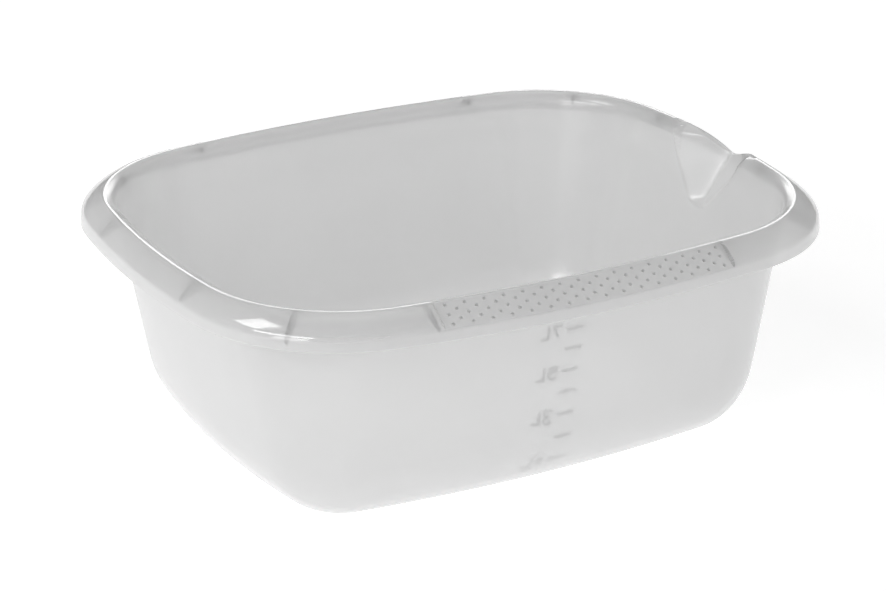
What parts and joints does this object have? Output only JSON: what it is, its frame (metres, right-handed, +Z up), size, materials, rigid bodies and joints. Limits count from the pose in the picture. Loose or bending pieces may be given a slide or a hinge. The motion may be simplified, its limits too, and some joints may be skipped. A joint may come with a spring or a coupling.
{
  "type": "washing up bowl",
  "caption": "Tapered oblong washing-up bowl with a sloping rim, a finger grip along each long side, a pouring spout in one end and a litre scale inside.",
  "frame": {"origin": "centre of the flat base, on the surface the bowl stands on", "axes": "+Z up out of the open top; +X along the length towards the end with the spout; +Y across the width to the long side away from the litre scale"},
  "size_m": [0.384, 0.322, 0.1345],
  "materials": {
    "bowl": "frosted translucent polypropylene, natural colour",
    "rim": "clearer, smoother polypropylene of the same moulding",
    "scale": "same plastic, raised marks"
  },
  "bodies": {
    "root": {"back_grip": "rim", "back_grip_pips": "rim", "back_gussets": "rim", "back_left_corner_wall": "bowl", "back_left_rim": "rim", "back_left_skirt": "rim", "back_right_corner_wall": "bowl", "back_right_rim": "rim", "back_right_skirt": "rim", "back_skirt": "rim", "back_wall": "bowl", "corner_gussets": "rim", "floor": "bowl", "front_grip": "rim", "front_grip_pips": "rim", "front_gussets": "rim", "front_left_corner_wall": "bowl", "front_left_rim": "rim", "front_left_skirt": "rim", "front_right_corner_wall": "bowl", "front_right_rim": "rim", "front_right_skirt": "rim", "front_skirt": "rim", "front_wall": "bowl", "left_gussets": "rim", "left_rim": "rim", "left_skirt": "rim", "left_wall": "bowl", "litre_figures": "scale", "litre_ticks": "scale", "right_gussets": "rim", "right_rim": "rim", "right_skirt": "rim", "right_wall": "bowl", "spout": "rim"}
  },
  "joints": []
}
